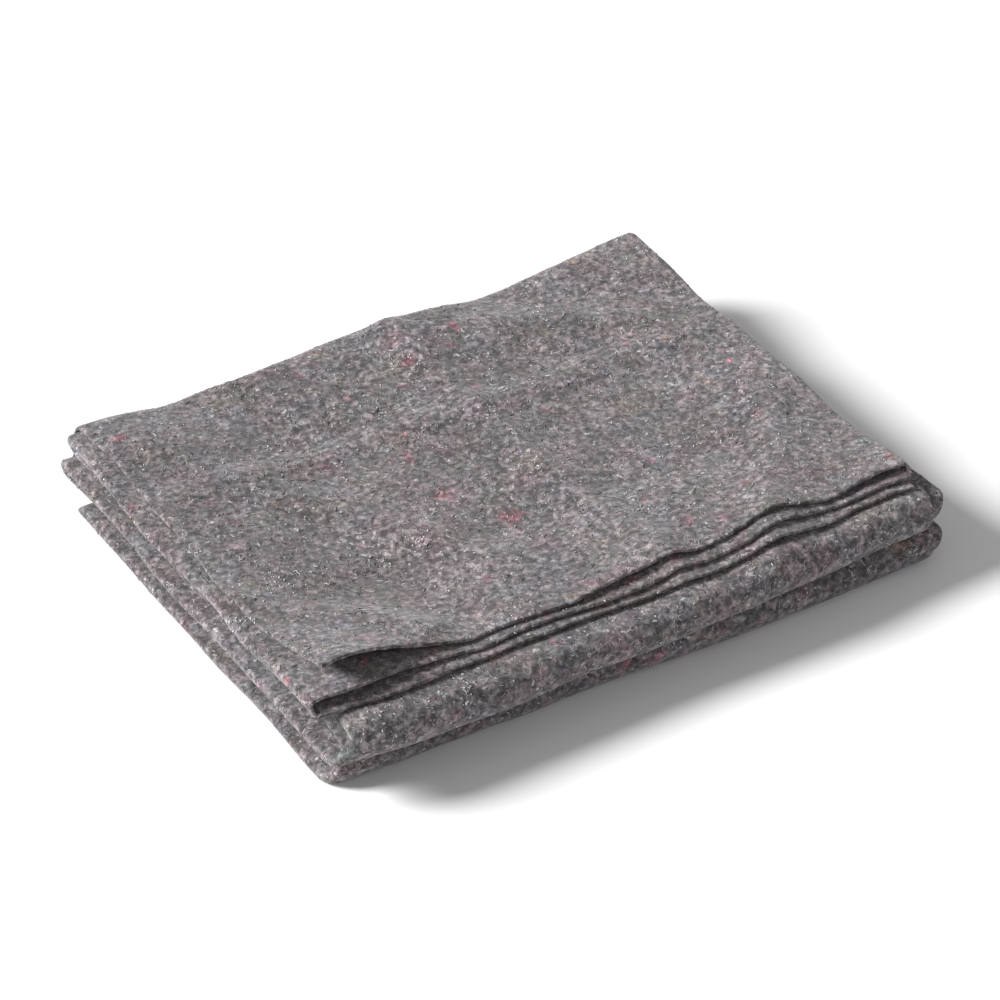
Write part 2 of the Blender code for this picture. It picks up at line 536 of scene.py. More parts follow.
@dataclass
class SoftField:
    """A smooth random field, made of waves in many directions.

    Attributes:
        seed: which field it is.
        shortest: its shortest wave, in metres.
        longest: its longest wave.
        waves: how many waves it adds up.
    """

    seed: int
    shortest: float
    longest: float
    waves: int = 36

    def at(self, places: Array) -> Array:
        """The field's values.

        Args:
            places: places of two or three coordinates.

        Returns:
            The value at each place, mostly between -1 and 1.
        """
        draw = np.random.default_rng(self.seed)
        lengths = np.exp(draw.uniform(math.log(self.shortest), math.log(self.longest), self.waves))
        ways = unit(draw.normal(size=(self.waves, places.shape[-1])))
        phases = draw.uniform(0.0, 2.0 * math.pi, self.waves)
        total = np.zeros(places.shape[:-1])
        for way, length, phase in zip(ways, lengths, phases):
            total += np.sin(places @ way * (2.0 * math.pi / length) + phase)
        return total / math.sqrt(self.waves)


def unrolled(points: Array) -> Array:
    """The flat cloth's coordinates, measured along the rows and columns of a sheet's points.

    Args:
        points: the sheet's points, as rows by columns.

    Returns:
        The two coordinates of each point.
    """
    u = np.zeros(points.shape[:2])
    v = np.zeros(points.shape[:2])
    u[1:] = np.linalg.norm(np.diff(points, axis=0), axis=2).cumsum(axis=0)
    v[:, 1:] = np.linalg.norm(np.diff(points, axis=1), axis=2).cumsum(axis=1)
    return np.stack((u, v), axis=2)


@dataclass
class FeltSheet:
    """The blanket itself: one fine sheet of felt on the folds of its solid.

    Attributes:
        plan: how the blanket is folded.
        finish: the felt's finish.
        creases: the soft ridges and troughs on top of the pad.
        top_height: how high the top of the pad lies, where they are at their full height.
        sway: how far the whole pad is pushed out of true, to the side, to the back and up.
        edge_lift: how far the top layer's cut edges stand up in places.
        edge_lift_reach: how far in from its edges that begins.
        edge_free: the share of that in each layer of the strip.
        lump: how far the felt's lumps stand out.
        ragged: how far the cut edges are frayed in and out.
        ragged_reach: how far in from the edges the cloth moves with them.
        edge_bulge: how far the middle of a cut edge stands out.
        edge_levels: the heights of its rounding, as shares of half the felt.
        edge_thin: the felt's thickness at its cut edges, as a share of its own.
        edge_thin_reach: how far in from the edges it thins.
        layer_fold_parts: the steps round a fold across the width.
        pass_fold_parts: the steps round a fold of the strip.
        layer_steps: how closely each layer is stepped across, the top one most.
        pass_steps: how closely each pass is stepped along, the top one most.
    """

    plan: FoldPlan
    finish: "FeltFinish"
    creases: tuple[Crease, ...] = (
        Crease(start=(-0.30, 0.085), end=(0.30, 0.060), height=0.0058, width=0.013),
        Crease(start=(-0.30, -0.075), end=(0.30, -0.060), height=-0.0030, width=0.020),
        Crease(start=(0.040, -0.27), end=(0.012, 0.27), height=0.0060, width=0.013),
        Crease(start=(-0.130, -0.27), end=(-0.112, 0.27), height=-0.0032, width=0.020),
        Crease(start=(-0.25, 0.20), end=(-0.03, -0.14), height=0.0062, width=0.017),
        Crease(start=(-0.20, 0.23), end=(-0.05, 0.02), height=-0.0048, width=0.020),
        Crease(start=(0.07, -0.25), end=(0.25, 0.03), height=0.0066, width=0.018),
        Crease(start=(0.13, -0.24), end=(0.28, -0.03), height=-0.0042, width=0.020),
        Crease(start=(0.04, 0.23), end=(0.27, 0.09), height=-0.0038, width=0.022),
        Crease(start=(0.06, 0.16), end=(0.20, 0.10), height=0.0046, width=0.014),
        Crease(start=(-0.28, -0.02), end=(-0.12, -0.17), height=0.0050, width=0.014),
    )
    top_height: float = 0.074
    sway: tuple[float, float, float] = (0.0009, 0.0013, 0.0011)
    edge_lift: float = 0.0032
    edge_lift_reach: float = 0.045
    edge_free: tuple[float, ...] = (0.0, 0.25, 1.0)
    lump: float = 0.00016
    ragged: float = 0.0005
    ragged_reach: float = 0.008
    edge_bulge: float = 0.0004
    edge_levels: tuple[float, ...] = (0.42, -0.42)
    edge_thin: float = 0.74
    edge_thin_reach: float = 0.0035
    layer_fold_parts: int = 8
    pass_fold_parts: int = 12
    layer_steps: tuple[Stepping, ...] = (
        Stepping(rim=0.006, body=0.0140, margin=0.024),
        Stepping(rim=0.008, body=0.0120, margin=0.024),
        Stepping(rim=0.0045, body=0.0056, margin=0.018),
    )
    pass_steps: tuple[Stepping, ...] = (
        Stepping(rim=0.008, body=0.0220, margin=0.032),
        Stepping(rim=0.008, body=0.0220, margin=0.032),
        Stepping(rim=0.008, body=0.0180, margin=0.032),
        Stepping(rim=0.008, body=0.0100, margin=0.032),
        Stepping(rim=0.0045, body=0.0056, margin=0.018),
    )

    @staticmethod
    def stops(steps: tuple[Stepping, ...], reach: float, parts: int) -> list[Stop]:
        """The stops along a back-and-forth path, over its panels and round its folds.

        Args:
            steps: how closely each panel is stepped, in order.
            reach: how far from the middle the panels end.
            parts: the steps round each fold.

        Returns:
            The stops, in order.
        """
        last = len(steps) - 1
        found: list[Stop] = []
        for number, stepping in enumerate(steps):
            shares = stepping.shares(2.0 * reach, number == 0, number == last)
            found += [Stop(number, share, StopKind.PANEL) for share in shares]
            if number < last:
                found += [Stop(number, part / parts, StopKind.FOLD) for part in range(1, parts)]
        return found

    def set_on_solid(self, points: Array) -> Array:
        """The points moved so that the sheet lies where its solid does.

        Args:
            points: the middle surface's points.

        Returns:
            The points in the part's frame.
        """
        half = self.plan.felt / 2.0
        solid_low, solid_high = (np.array(corner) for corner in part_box(NODE))
        low = points.reshape(-1, 3).min(axis=0) - half
        high = points.reshape(-1, 3).max(axis=0) + half
        offset = (solid_low + solid_high) / 2.0 - (low + high) / 2.0
        offset[2] = solid_low[2] - low[2]
        return points + offset

    def loosened(self, points: Array, across: list[Stop], along: list[Stop]) -> Array:
        """The points with the top layer's cut edges standing up in places.

        Args:
            points: the middle surface's points.
            across: the stops across the blanket.
            along: the stops along it.

        Returns:
            The points, some of them moved up.
        """
        layer_at = np.array([stop.progress for stop in across])
        pass_at = np.array([stop.progress for stop in along])
        cloth = unrolled(points)
        from_left = cloth[-1:, :, 0] - cloth[..., 0]
        from_front = cloth[:, -1:, 1] - cloth[..., 1]
        near = smooth(1.0 - np.minimum(from_left, from_front) / self.edge_lift_reach)
        wave = np.maximum(0.0, SoftField(seed=12, shortest=0.08, longest=0.2).at(points[..., :2]))
        free = np.interp(layer_at, range(self.plan.layers), self.edge_free)[:, None]
        top = smooth(pass_at - (self.plan.passes - 2))[None, :]
        moved = points.copy()
        moved[..., 2] += self.edge_lift * wave * near * free * top
        return moved

    def pressed(self, points: Array) -> Array:
        """The points with the pile pushed out of true and its creases pressed in.

        Args:
            points: the middle surface's points.

        Returns:
            The points, moved by amounts that change slowly, so that no layers meet.
        """
        x, y, z = points[..., 0], points[..., 1], points[..., 2]
        share = np.clip(z / self.top_height, 0.0, 1.0)
        rise = sum(crease.rise(x, y) for crease in self.creases)
        moved = points.copy()
        for axis, amount in enumerate(self.sway):
            field_here = SoftField(seed=40 + axis, shortest=0.08, longest=0.22)
            held = smooth(share * 2.5) if axis == 2 else 1.0
            moved[..., axis] += amount * held * field_here.at(points * (1.0, 1.0, 1.6))
        moved[..., 2] += rise * share**2
        return moved

    def frayed(self, points: Array, cloth: Array) -> Array:
        """The points with the cut edges a little ragged.

        Args:
            points: the middle surface's points.
            cloth: the flat cloth's coordinates.

        Returns:
            The points, with those near a cut edge moved in and out.
        """
        fray = SoftField(seed=31, shortest=0.007, longest=0.03)
        moved = points.copy()
        for axis in (0, 1):
            here = cloth[..., axis]
            last = here[-1:] if axis == 0 else here[:, -1:]
            outward = unit(np.gradient(points, axis=axis))
            for away, way in ((here, -1.0), (last - here, 1.0)):
                near = smooth(1.0 - away / self.ragged_reach)
                along = np.stack((cloth[..., 1 - axis], np.full_like(here, way)), axis=2)
                moved += outward * (way * self.ragged * near * fray.at(along))[..., None]
        return moved

    def thickness_share(self, cloth: Array) -> Array:
        """The felt's share of its thickness, thinner towards its cut edges.

        Args:
            cloth: the flat cloth's coordinates.

        Returns:
            The share at each point.
        """
        u, v = cloth[..., 0], cloth[..., 1]
        away = np.minimum(np.minimum(u, u[-1:] - u), np.minimum(v, v[:, -1:] - v))
        full = np.sqrt(np.clip(away / self.edge_thin_reach, 0.0, 1.0))
        return self.edge_thin + (1.0 - self.edge_thin) * full

    @staticmethod
    def border(rows: int, columns: int) -> tuple[Array, Array]:
        """The grid's border points, once round, and the points just inside them.

        Args:
            rows: the rows of the grid.
            columns: its columns.

        Returns:
            The two lists of points' numbers.
        """
        grid = np.arange(rows * columns).reshape(rows, columns)
        ring = np.concatenate((grid[:, 0], grid[-1, 1:], grid[-2::-1, -1], grid[0, -2:0:-1]))
        row, column = np.divmod(ring, columns)
        return ring, np.clip(row, 1, rows - 2) * columns + np.clip(column, 1, columns - 2)

    def skin(self, points: Array, cloth: Array) -> tuple[Array, Array]:
        """The felt's two faces and its rounded cut edges.

        Args:
            points: the middle surface's points.
            cloth: the flat cloth's coordinates.

        Returns:
            The points and the faces.
        """
        half = self.plan.felt / 2.0
        rows, columns = points.shape[:2]
        count = rows * columns
        normals = unit(np.cross(np.gradient(points, axis=0), np.gradient(points, axis=1)))
        thick = half * self.thickness_share(cloth)
        all_points = []
        for face in (1.0, -1.0):
            lumps = SoftField(seed=7 + int(face), shortest=0.018, longest=0.06).at(cloth)
            stand = face * (thick + self.lump * lumps)
            all_points.append((points + normals * stand[..., None]).reshape(-1, 3))
        ring, inside = self.border(rows, columns)
        middle, up = points.reshape(-1, 3)[ring], normals.reshape(-1, 3)[ring]
        outward = unit(middle - points.reshape(-1, 3)[inside])
        for level in self.edge_levels:
            all_points.append(middle + outward * self.edge_bulge + up * (half * level))
        corner = (np.arange(rows - 1)[:, None] * columns + np.arange(columns - 1)[None, :]).ravel()
        upper = np.column_stack((corner, corner + columns, corner + columns + 1, corner + 1))
        faces = [upper, upper[:, ::-1] + count]
        steps = np.arange(len(ring))
        levels = [ring, 2 * count + steps, 2 * count + len(ring) + steps, ring + count]
        for above, below in zip(levels, levels[1:]):
            faces.append(np.column_stack((above, below, np.roll(below, -1), np.roll(above, -1))))
        return np.concatenate(all_points), np.concatenate(faces)

    def build(self) -> bpy.types.Object:
        """Makes the sheet's mesh and dresses it.

        Returns:
            The blanket.
        """
        plan = self.plan
        across = self.stops(self.layer_steps, plan.layer_reach, self.layer_fold_parts)
        along = self.stops(self.pass_steps, plan.pass_reach, self.pass_fold_parts)
        points = self.set_on_solid(plan.surface(across, along))
        points = self.pressed(self.loosened(points, across, along))
        cloth = unrolled(points)
        points, faces = self.skin(self.frayed(points, cloth), cloth)
        points[:, 2] = np.maximum(points[:, 2], 0.0)
        blanket = mesh_object("felt_sheet", points, faces)
        blanket.data.shade_smooth()
        blanket.data.materials.append(self.finish.material())
        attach(blanket, BODY)
        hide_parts(NODE)
        return blanket


def mesh_object(name: str, points: Array, faces: Array | list) -> bpy.types.Object:
    """A mesh object from arrays.

    Args:
        name: the object's name.
        points: its points.
        faces: its faces, each a row of as many corners.

    Returns:
        The object, in the scene.
    """
    mesh = bpy.data.meshes.new(name)
    mesh.from_pydata(points.tolist(), [], faces if isinstance(faces, list) else faces.tolist())
    mesh.update()
    made = bpy.data.objects.new(name, mesh)
    bpy.context.scene.collection.objects.link(made)
    return made


@dataclass(frozen=True)
class Speck:
    """A size of speck scattered through the felt.

    Attributes:
        per_metre: how many cells to the metre it is drawn in.
        size: the largest speck's radius, as a share of a cell.
        share: the share of the cells that have one.
        strength: how far it covers the felt's own colour.
        smallest: the smallest speck's radius, as a share of the largest's.
        core: the share of its radius that is at full strength.
    """

    per_metre: float
    size: float
    share: float
    strength: float
    smallest: float = 0.4
    core: float = 0.15


@dataclass(frozen=True)
class Curls:
    """Short curly threads in the felt.

    Attributes:
        per_metre: how many curls to the metre.
        width: how wide a thread is, as a share of its noise's range.
        cut: how much of the threads' length is cut away.
        strength: how far they cover the felt's own colour.
    """

    per_metre: float
    width: float
    cut: float
    strength: float


class Graph:
    """A material's nodes, with short calls for the kinds that the finishes use."""

    def __init__(self, name: str) -> None:
        """Makes an empty material with a Principled shader.

        Args:
            name: its name.
        """
        self.material = bpy.data.materials.new(name)
        self.material.use_nodes = True
        self.tree = self.material.node_tree
        self.shader = self.tree.nodes["Principled BSDF"]

    def put(self, socket: Socket, value: object) -> None:
        """Links a socket to another, or sets its value.

        Args:
            socket: the socket.
            value: the other socket, or the value.
        """
        if isinstance(value, Socket):
            self.tree.links.new(value, socket)
        else:
            socket.default_value = value

    def add(self, kind: str, inputs: dict[int | str, object], **settings: object) -> Node:
        """Adds a node.

        Args:
            kind: the node's kind.
            inputs: what each of its sockets takes.
            settings: its own settings.

        Returns:
            The node.
        """
        node = self.tree.nodes.new(kind)
        for name, setting in settings.items():
            setattr(node, name, setting)
        for name, value in inputs.items():
            self.put(node.inputs[name], value)
        return node

    def math(self, operation: str, first: object, second: object = 0.0) -> Socket:
        """A sum on numbers."""
        return self.add("ShaderNodeMath", {0: first, 1: second}, operation=operation).outputs[0]

    def vector(self, operation: str, first: object, second: object) -> Socket:
        """A sum on vectors; the second is a number where the operation is SCALE."""
        inputs = {0: first, "Scale" if operation == "SCALE" else 1: second}
        return self.add("ShaderNodeVectorMath", inputs, operation=operation).outputs[0]

    def noise(self, place: object, per_metre: float, detail: float = 2.0, rough: float = 0.5) -> Node:
        """A noise texture with so many lumps to the metre."""
        inputs = {"Vector": place, "Scale": per_metre, "Detail": detail, "Roughness": rough}
        return self.add("ShaderNodeTexNoise", inputs)

    def cells(self, place: object, per_metre: float) -> Node:
        """A Voronoi texture with so many cells to the metre."""
        return self.add("ShaderNodeTexVoronoi", {"Vector": place, "Scale": per_metre})

    def mapped(self, place: object, turn: float, stretch: tuple[float, float, float]) -> Socket:
        """The place turned about the upright axis, and then stretched."""
        turned = self.add("ShaderNodeMapping", {"Vector": place, "Rotation": (0.0, 0.0, turn)})
        return self.add("ShaderNodeMapping", {"Vector": turned.outputs[0], "Scale": stretch}).outputs[0]

    def place(self) -> Socket:
        """Where in the part each point lies, in metres."""
        return self.add("ShaderNodeTexCoord", {}).outputs["Object"]

    def ranged(
        self,
        value: object,
        low: float,
        high: float,
        to_low: float = 0.0,
        to_high: float = 1.0,
        kind: str = "SMOOTHSTEP",
    ) -> Socket:
        """A value brought from one range to another, and kept in it."""
        inputs = {"Value": value, "From Min": low, "From Max": high, "To Min": to_low, "To Max": to_high}
        return self.add("ShaderNodeMapRange", inputs, interpolation_type=kind).outputs["Result"]

    def mix(self, share: object, first: object, second: object) -> Socket:
        """Two colours mixed."""
        inputs = {0: share, 6: first, 7: second}
        return self.add("ShaderNodeMix", inputs, data_type="RGBA").outputs[2]

    def one_of(self, value: object, colours: tuple[Colour, ...]) -> Socket:
        """One of several colours, picked by a value from 0 to 1.

        Args:
            value: the value.
            colours: the colours.

        Returns:
            The colour.
        """
        node = self.add("ShaderNodeValToRGB", {"Fac": value})
        node.color_ramp.interpolation = "CONSTANT"
        while len(node.color_ramp.elements) < len(colours):
            node.color_ramp.elements.new(0.5)
        for index, (element, colour) in enumerate(zip(node.color_ramp.elements, colours)):
            element.position = index / len(colours)
            element.color = (*colour, 1.0)
        return node.outputs["Color"]

    def times(self, first: object, *factors: object) -> Socket:
        """The product of numbers."""
        return reduce(lambda product, factor: self.math("MULTIPLY", product, factor), factors, first)

    def warped(self, place: object, per_metre: float, amount: float) -> Socket:
        """The place pushed about by a noise, so that shapes drawn there are irregular.

        Args:
            place: the place.
            per_metre: how many lumps to the metre the noise has.
            amount: how far it pushes, in metres.

        Returns:
            The place, moved.
        """
        drift = self.noise(place, per_metre, 1.0).outputs["Color"]
        drift = self.vector("SCALE", self.vector("SUBTRACT", drift, (0.5, 0.5, 0.5)), amount)
        return self.vector("ADD", place, drift)

    def scattered(self, place: object, speck: Speck) -> tuple[Socket, Socket]:
        """Specks in some of the cells of a Voronoi texture.

        Args:
            place: where on the cloth.
            speck: the specks' size and number.

        Returns:
            The specks from 0 to 1, and a random number for each cell.
        """
        cells = self.cells(place, speck.per_metre)
        chance, kind, big = self.add("ShaderNodeSeparateColor", {0: cells.outputs["Color"]}).outputs[:3]
        radius = self.ranged(big, 0.0, 1.0, speck.size * speck.smallest, speck.size)
        spot = self.ranged(self.math("DIVIDE", cells.outputs["Distance"], radius), 1.0, speck.core)
        return self.times(spot, self.math("LESS_THAN", chance, speck.share), speck.strength), kind

    def threads(self, place: object, curls: Curls) -> Socket:
        """Short curly threads: the level lines of a noise, cut into lengths by another.

        Args:
            place: where on the cloth.
            curls: the threads' size and number.

        Returns:
            The threads, from 0 to 1.
        """
        level = self.noise(place, curls.per_metre, 1.0).outputs["Fac"]
        off = self.math("ABSOLUTE", self.math("SUBTRACT", level, 0.5))
        line = self.ranged(off, curls.width, curls.width * 0.25)
        gate = self.noise(self.vector("ADD", place, (3.1, 1.7, 0.4)), curls.per_metre * 1.5, 0.0)
        return self.times(line, self.ranged(gate.outputs["Fac"], curls.cut, curls.cut + 0.06))

    def bump(self, height: object, depth: float, strength: float, **under: object) -> Socket:
        """A bump of so many metres, over the bump that Normal names where it is given."""
        inputs = {"Distance": depth, "Strength": strength, "Height": height, **under}
        return self.add("ShaderNodeBump", inputs).outputs[0]


@dataclass(frozen=True)
class FeltFinish:
    """Needled felt of mixed grey waste fibres, flecked with lint and bits of coloured wool.

    Attributes:
        base: the felt's own grey.
        zones: the tints of its broad areas.
        lint: the colour of its lint and pale threads.
        dark: the colour of its dark threads, and of the painted shade in its pits.
        wool: the colours of the bits of wool.
        wool_specks: the sizes of the bits of wool.
        lint_specks: those of the lint.
        pit_shade_specks: those of the painted shade in its pits.
        dark_curls: the dark threads.
        pale_curls: the pale threads.
        zones_per_metre: how many areas of the first tint to the metre.
        zones_more: how many more each next tint has.
        zone_strength: how far a tint covers the base.
        teasing: how the bits of wool are teased out: lumps to the metre, and metres.
        warp: how the grain is made irregular, in the same way.
        clumps_per_metre: how many clumps of fibre to the metre.
        clump_share: their share of the grain.
        fibres_per_metre: how many single fibres to the metre.
        fibre_share: the share of those of each direction.
        fibre_turns: the fibres' directions, in radians.
        fibre_stretch: how far they are drawn out along themselves.
        grain_range: the darkest and lightest of the grain's noise.
        grain_power: how far its contrast is sharpened.
        grain_gain: how much its lightest adds to the felt's brightness.
        grain_least: how bright its darkest is.
        broad_per_metre: how many broad changes in brightness to the metre.
        broad_change: how large they are.
        patch_per_metre: how many small lumps to the metre.
        patch_change: how much they change the brightness.
        gather_per_metre: how many gatherings of lint to the metre.
        lump_depth: how deep the bump of the small lumps is.
        grain_depth: how deep the bump of the grain is.
        roughness: how dull the felt is.
        sheen: how strong the pale bloom of its fuzz is.
        sheen_roughness: how wide that bloom spreads.
    """

    base: Colour = (0.120, 0.103, 0.1075)
    zones: tuple[Colour, ...] = (
        (0.143, 0.0965, 0.107),
        (0.1045, 0.1065, 0.1055),
        (0.121, 0.106, 0.0957),
        (0.109, 0.102, 0.115),
    )
    lint: Colour = (0.60, 0.58, 0.59)
    dark: Colour = (0.020, 0.018, 0.021)
    wool: tuple[Colour, ...] = (
        (0.270, 0.040, 0.075),
        (0.265, 0.095, 0.125),
        (0.200, 0.120, 0.075),
        (0.285, 0.060, 0.095),
        (0.250, 0.105, 0.135),
        (0.155, 0.150, 0.085),
        (0.250, 0.030, 0.055),
        (0.095, 0.145, 0.135),
        (0.120, 0.110, 0.180),
    )
    wool_specks: tuple[Speck, ...] = (
        Speck(per_metre=34.0, size=0.46, share=0.50, strength=0.52),
        Speck(per_metre=70.0, size=0.34, share=0.13, strength=0.52),
        Speck(per_metre=170.0, size=0.38, share=0.018, strength=0.50),
    )
    lint_specks: tuple[Speck, ...] = (
        Speck(per_metre=130.0, size=0.27, share=0.32, strength=0.85),
        Speck(per_metre=260.0, size=0.42, share=0.24, strength=0.75),
        Speck(per_metre=92.0, size=0.42, share=0.17, strength=0.36),
    )
    # Specks of painted shade: dark colour standing for the shade in the felt's small pits.
    pit_shade_specks: tuple[Speck, ...] = (
        Speck(per_metre=160.0, size=0.42, share=0.36, strength=0.72),
        Speck(per_metre=290.0, size=0.46, share=0.30, strength=0.70),
        Speck(per_metre=104.0, size=0.44, share=0.20, strength=0.40),
    )
    dark_curls: Curls = Curls(per_metre=150.0, width=0.030, cut=0.53, strength=0.55)
    pale_curls: Curls = Curls(per_metre=140.0, width=0.024, cut=0.53, strength=0.52)
    zones_per_metre: float = 26.0
    zones_more: float = 5.0
    zone_strength: float = 0.85
    teasing: tuple[tuple[float, float], ...] = ((75.0, 0.020), (190.0, 0.006))
    warp: tuple[float, float] = (170.0, 0.0055)
    clumps_per_metre: float = 195.0
    clump_share: float = 0.72
    fibres_per_metre: float = 420.0
    fibre_share: float = 0.14
    fibre_turns: tuple[float, ...] = (0.5, 1.9)
    fibre_stretch: tuple[float, float, float] = (1.0, 0.42, 1.0)
    grain_range: tuple[float, float] = (0.28, 0.74)
    grain_power: float = 2.15
    grain_gain: float = 3.45
    grain_least: float = 0.24
    broad_per_metre: float = 20.0
    broad_change: float = 0.18
    patch_per_metre: float = 85.0
    patch_change: float = 0.16
    gather_per_metre: float = 34.0
    lump_depth: float = 0.0014
    grain_depth: float = 0.0006
    roughness: float = 0.96
    sheen: float = 0.22
    sheen_roughness: float = 0.6

    def grain(self, graph: Graph, place: object) -> Socket:
        """The felt's light and dark grain, in round clumps and a few crossed fibres.

        Args:
            graph: the material's nodes.
            place: where on the cloth, warped a little.

        Returns:
            The grain, from 0 to 1.
        """
        clumps = graph.noise(place, self.clumps_per_metre, 2.5, 0.60).outputs["Fac"]
        total = graph.times(clumps, self.clump_share)
        for turn in self.fibre_turns:
            stretched = graph.mapped(place, turn, self.fibre_stretch)
            fibres = graph.noise(stretched, self.fibres_per_metre, 1.0).outputs["Fac"]
            total = graph.math("ADD", total, graph.times(fibres, self.fibre_share))
        return graph.ranged(total, *self.grain_range, kind="LINEAR")

    def brightness(self, graph: Graph, cloth: object, grain: object, patch: object) -> Socket:
        """How bright the felt is: its grain, with broad and small changes.

        Args:
            graph: the material's nodes.
            cloth: where on the cloth.
            grain: the grain.
            patch: the small lumps.

        Returns:
            The factor on the felt's colour.
        """
        broad = graph.noise(cloth, self.broad_per_metre, 2.0, 0.55).outputs["Fac"]
        value = graph.times(graph.math("POWER", grain, self.grain_power), self.grain_gain)
        value = graph.math("ADD", value, self.grain_least)
        for share, change in ((broad, self.broad_change), (patch, self.patch_change)):
            value = graph.times(value, graph.ranged(share, 0.3, 0.7, 1.0 - change, 1.0 + change))
        return value

    def hue(self, graph: Graph, place: object) -> Socket:
        """The felt's colour before its grain: grey, with tinted areas and bits of wool.

        Args:
            graph: the material's nodes.
            place: where on the cloth.

        Returns:
            The colour.
        """
        colour = (*self.base, 1.0)
        for number, zone in enumerate(self.zones):
            there = graph.vector("ADD", place, (0.0, 7.0 * number, 2.0))
            per_metre = self.zones_per_metre + self.zones_more * number
            share = graph.noise(there, per_metre, 2.0, 0.62).outputs["Fac"]
            share = graph.ranged(share, 0.47, 0.72, 0.0, self.zone_strength)
            colour = graph.mix(share, colour, (*zone, 1.0))
        for per_metre, amount in self.teasing:
            place = graph.warped(place, per_metre, amount)
        for speck in self.wool_specks:
            spot, kind = graph.scattered(place, speck)
            colour = graph.mix(spot, colour, graph.one_of(kind, self.wool))
        return colour

    def flecked(
        self, graph: Graph, colour: object, cloth: object, warped: object
    ) -> tuple[Socket, Socket]:
        """The felt with dark threads in it, painted shade in its small pits, and pale threads and lint
        on it.

        Args:
            graph: the material's nodes.
            colour: the felt's colour.
            cloth: where on the cloth.
            warped: the same place, warped a little.

        Returns:
            The colour, and how far the pale threads and the lint stand out.
        """
        dark, lint = (*self.dark, 1.0), (*self.lint, 1.0)
        sunk = graph.threads(graph.vector("ADD", warped, (9.0, 0.0, 0.0)), self.dark_curls)
        colour = graph.mix(graph.times(sunk, self.dark_curls.strength), colour, dark)
        # Painted shade: dark specks standing for the shade in the felt's small pits, mixed into its
        # colour.
        for speck in self.pit_shade_specks:
            spot, _ = graph.scattered(graph.vector("ADD", warped, (6.0, 3.0, 0.0)), speck)
            colour = graph.mix(spot, colour, dark)
        raised = graph.threads(warped, self.pale_curls)
        colour = graph.mix(graph.times(raised, self.pale_curls.strength), colour, lint)
        gather = graph.noise(cloth, self.gather_per_metre, 1.0).outputs["Fac"]
        gather = graph.ranged(gather, 0.38, 0.64, 0.12, 1.0)
        for speck in self.lint_specks:
            spot = graph.times(graph.scattered(warped, speck)[0], gather)
            colour = graph.mix(spot, colour, lint)
            raised = graph.math("ADD", raised, spot)
        return colour, raised

    def material(self) -> bpy.types.Material:
        """Builds the felt's material.

        Returns:
            The material.
        """
        graph = Graph("recycled_felt")
        cloth = graph.place()
        warped = graph.warped(cloth, *self.warp)
        grain = self.grain(graph, warped)
        away = graph.vector("ADD", cloth, (5.0, 2.0, 1.0))
        patch = graph.noise(away, self.patch_per_metre, 2.0, 0.55).outputs["Fac"]
        value = self.brightness(graph, cloth, grain, patch)
        colour = graph.vector("SCALE", self.hue(graph, cloth), value)
        colour, raised = self.flecked(graph, colour, cloth, warped)
        graph.put(graph.shader.inputs["Base Color"], colour)
        graph.shader.inputs["Roughness"].default_value = self.roughness
        graph.shader.inputs["Specular IOR Level"].default_value = 0.2
        graph.shader.inputs["Sheen Weight"].default_value = self.sheen
        graph.shader.inputs["Sheen Roughness"].default_value = self.sheen_roughness
        lumps = graph.bump(patch, self.lump_depth, 0.8)
        relief = graph.math("ADD", grain, raised)
        relief = graph.bump(relief, self.grain_depth, 0.9, Normal=lumps)
        graph.put(graph.shader.inputs["Normal"], relief)
        return graph.material


@dataclass(frozen=True)
class FibreFinish:
    """Loose fibres, each in the colour that its mesh carries."""

    roughness: float = 0.9
    sheen: float = 0.25

    def material(self) -> bpy.types.Material:
        """Builds the material, which reads the mesh's tint and varies it along each fibre.

        Returns:
            The material.
        """
        graph = Graph("loose_fibres")
        tint = graph.add("ShaderNodeAttribute", {}, attribute_name="tint").outputs["Color"]
        varied = graph.noise(graph.place(), 900.0, 1.0).outputs["Fac"]
        varied = graph.ranged(varied, 0.3, 0.7, 0.75, 1.2)
        graph.put(graph.shader.inputs["Base Color"], graph.vector("SCALE", tint, varied))
        graph.shader.inputs["Roughness"].default_value = self.roughness
        graph.shader.inputs["Specular IOR Level"].default_value = 0.2
        graph.shader.inputs["Sheen Weight"].default_value = self.sheen
        return graph.material


